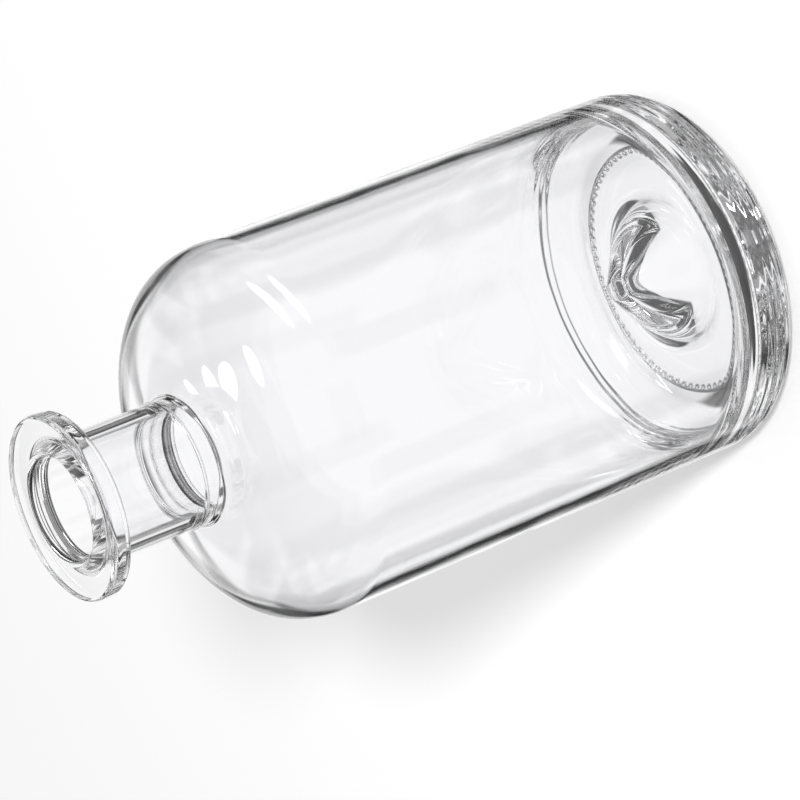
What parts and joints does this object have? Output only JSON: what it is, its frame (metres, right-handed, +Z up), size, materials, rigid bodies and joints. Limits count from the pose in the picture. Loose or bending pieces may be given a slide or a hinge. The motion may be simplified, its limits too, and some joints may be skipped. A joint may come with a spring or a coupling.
{
  "type": "apothecary bottle",
  "caption": "Round clear glass bottle with a flat flange lip, short straight neck, rounded shoulder, heavy heel and a cone pushed up into its base.",
  "frame": {"origin": "middle of the base, on the plane of the bearing ring that the bottle stands on", "axes": "+Z up along the bottle's axis, from the base to the mouth; +X and +Y are across the round body"},
  "size_m": [0.085, 0.085, 0.1684],
  "materials": {
    "glass": "clear, fire polished"
  },
  "bodies": {
    "root": {"bottle": "glass"}
  },
  "joints": []
}
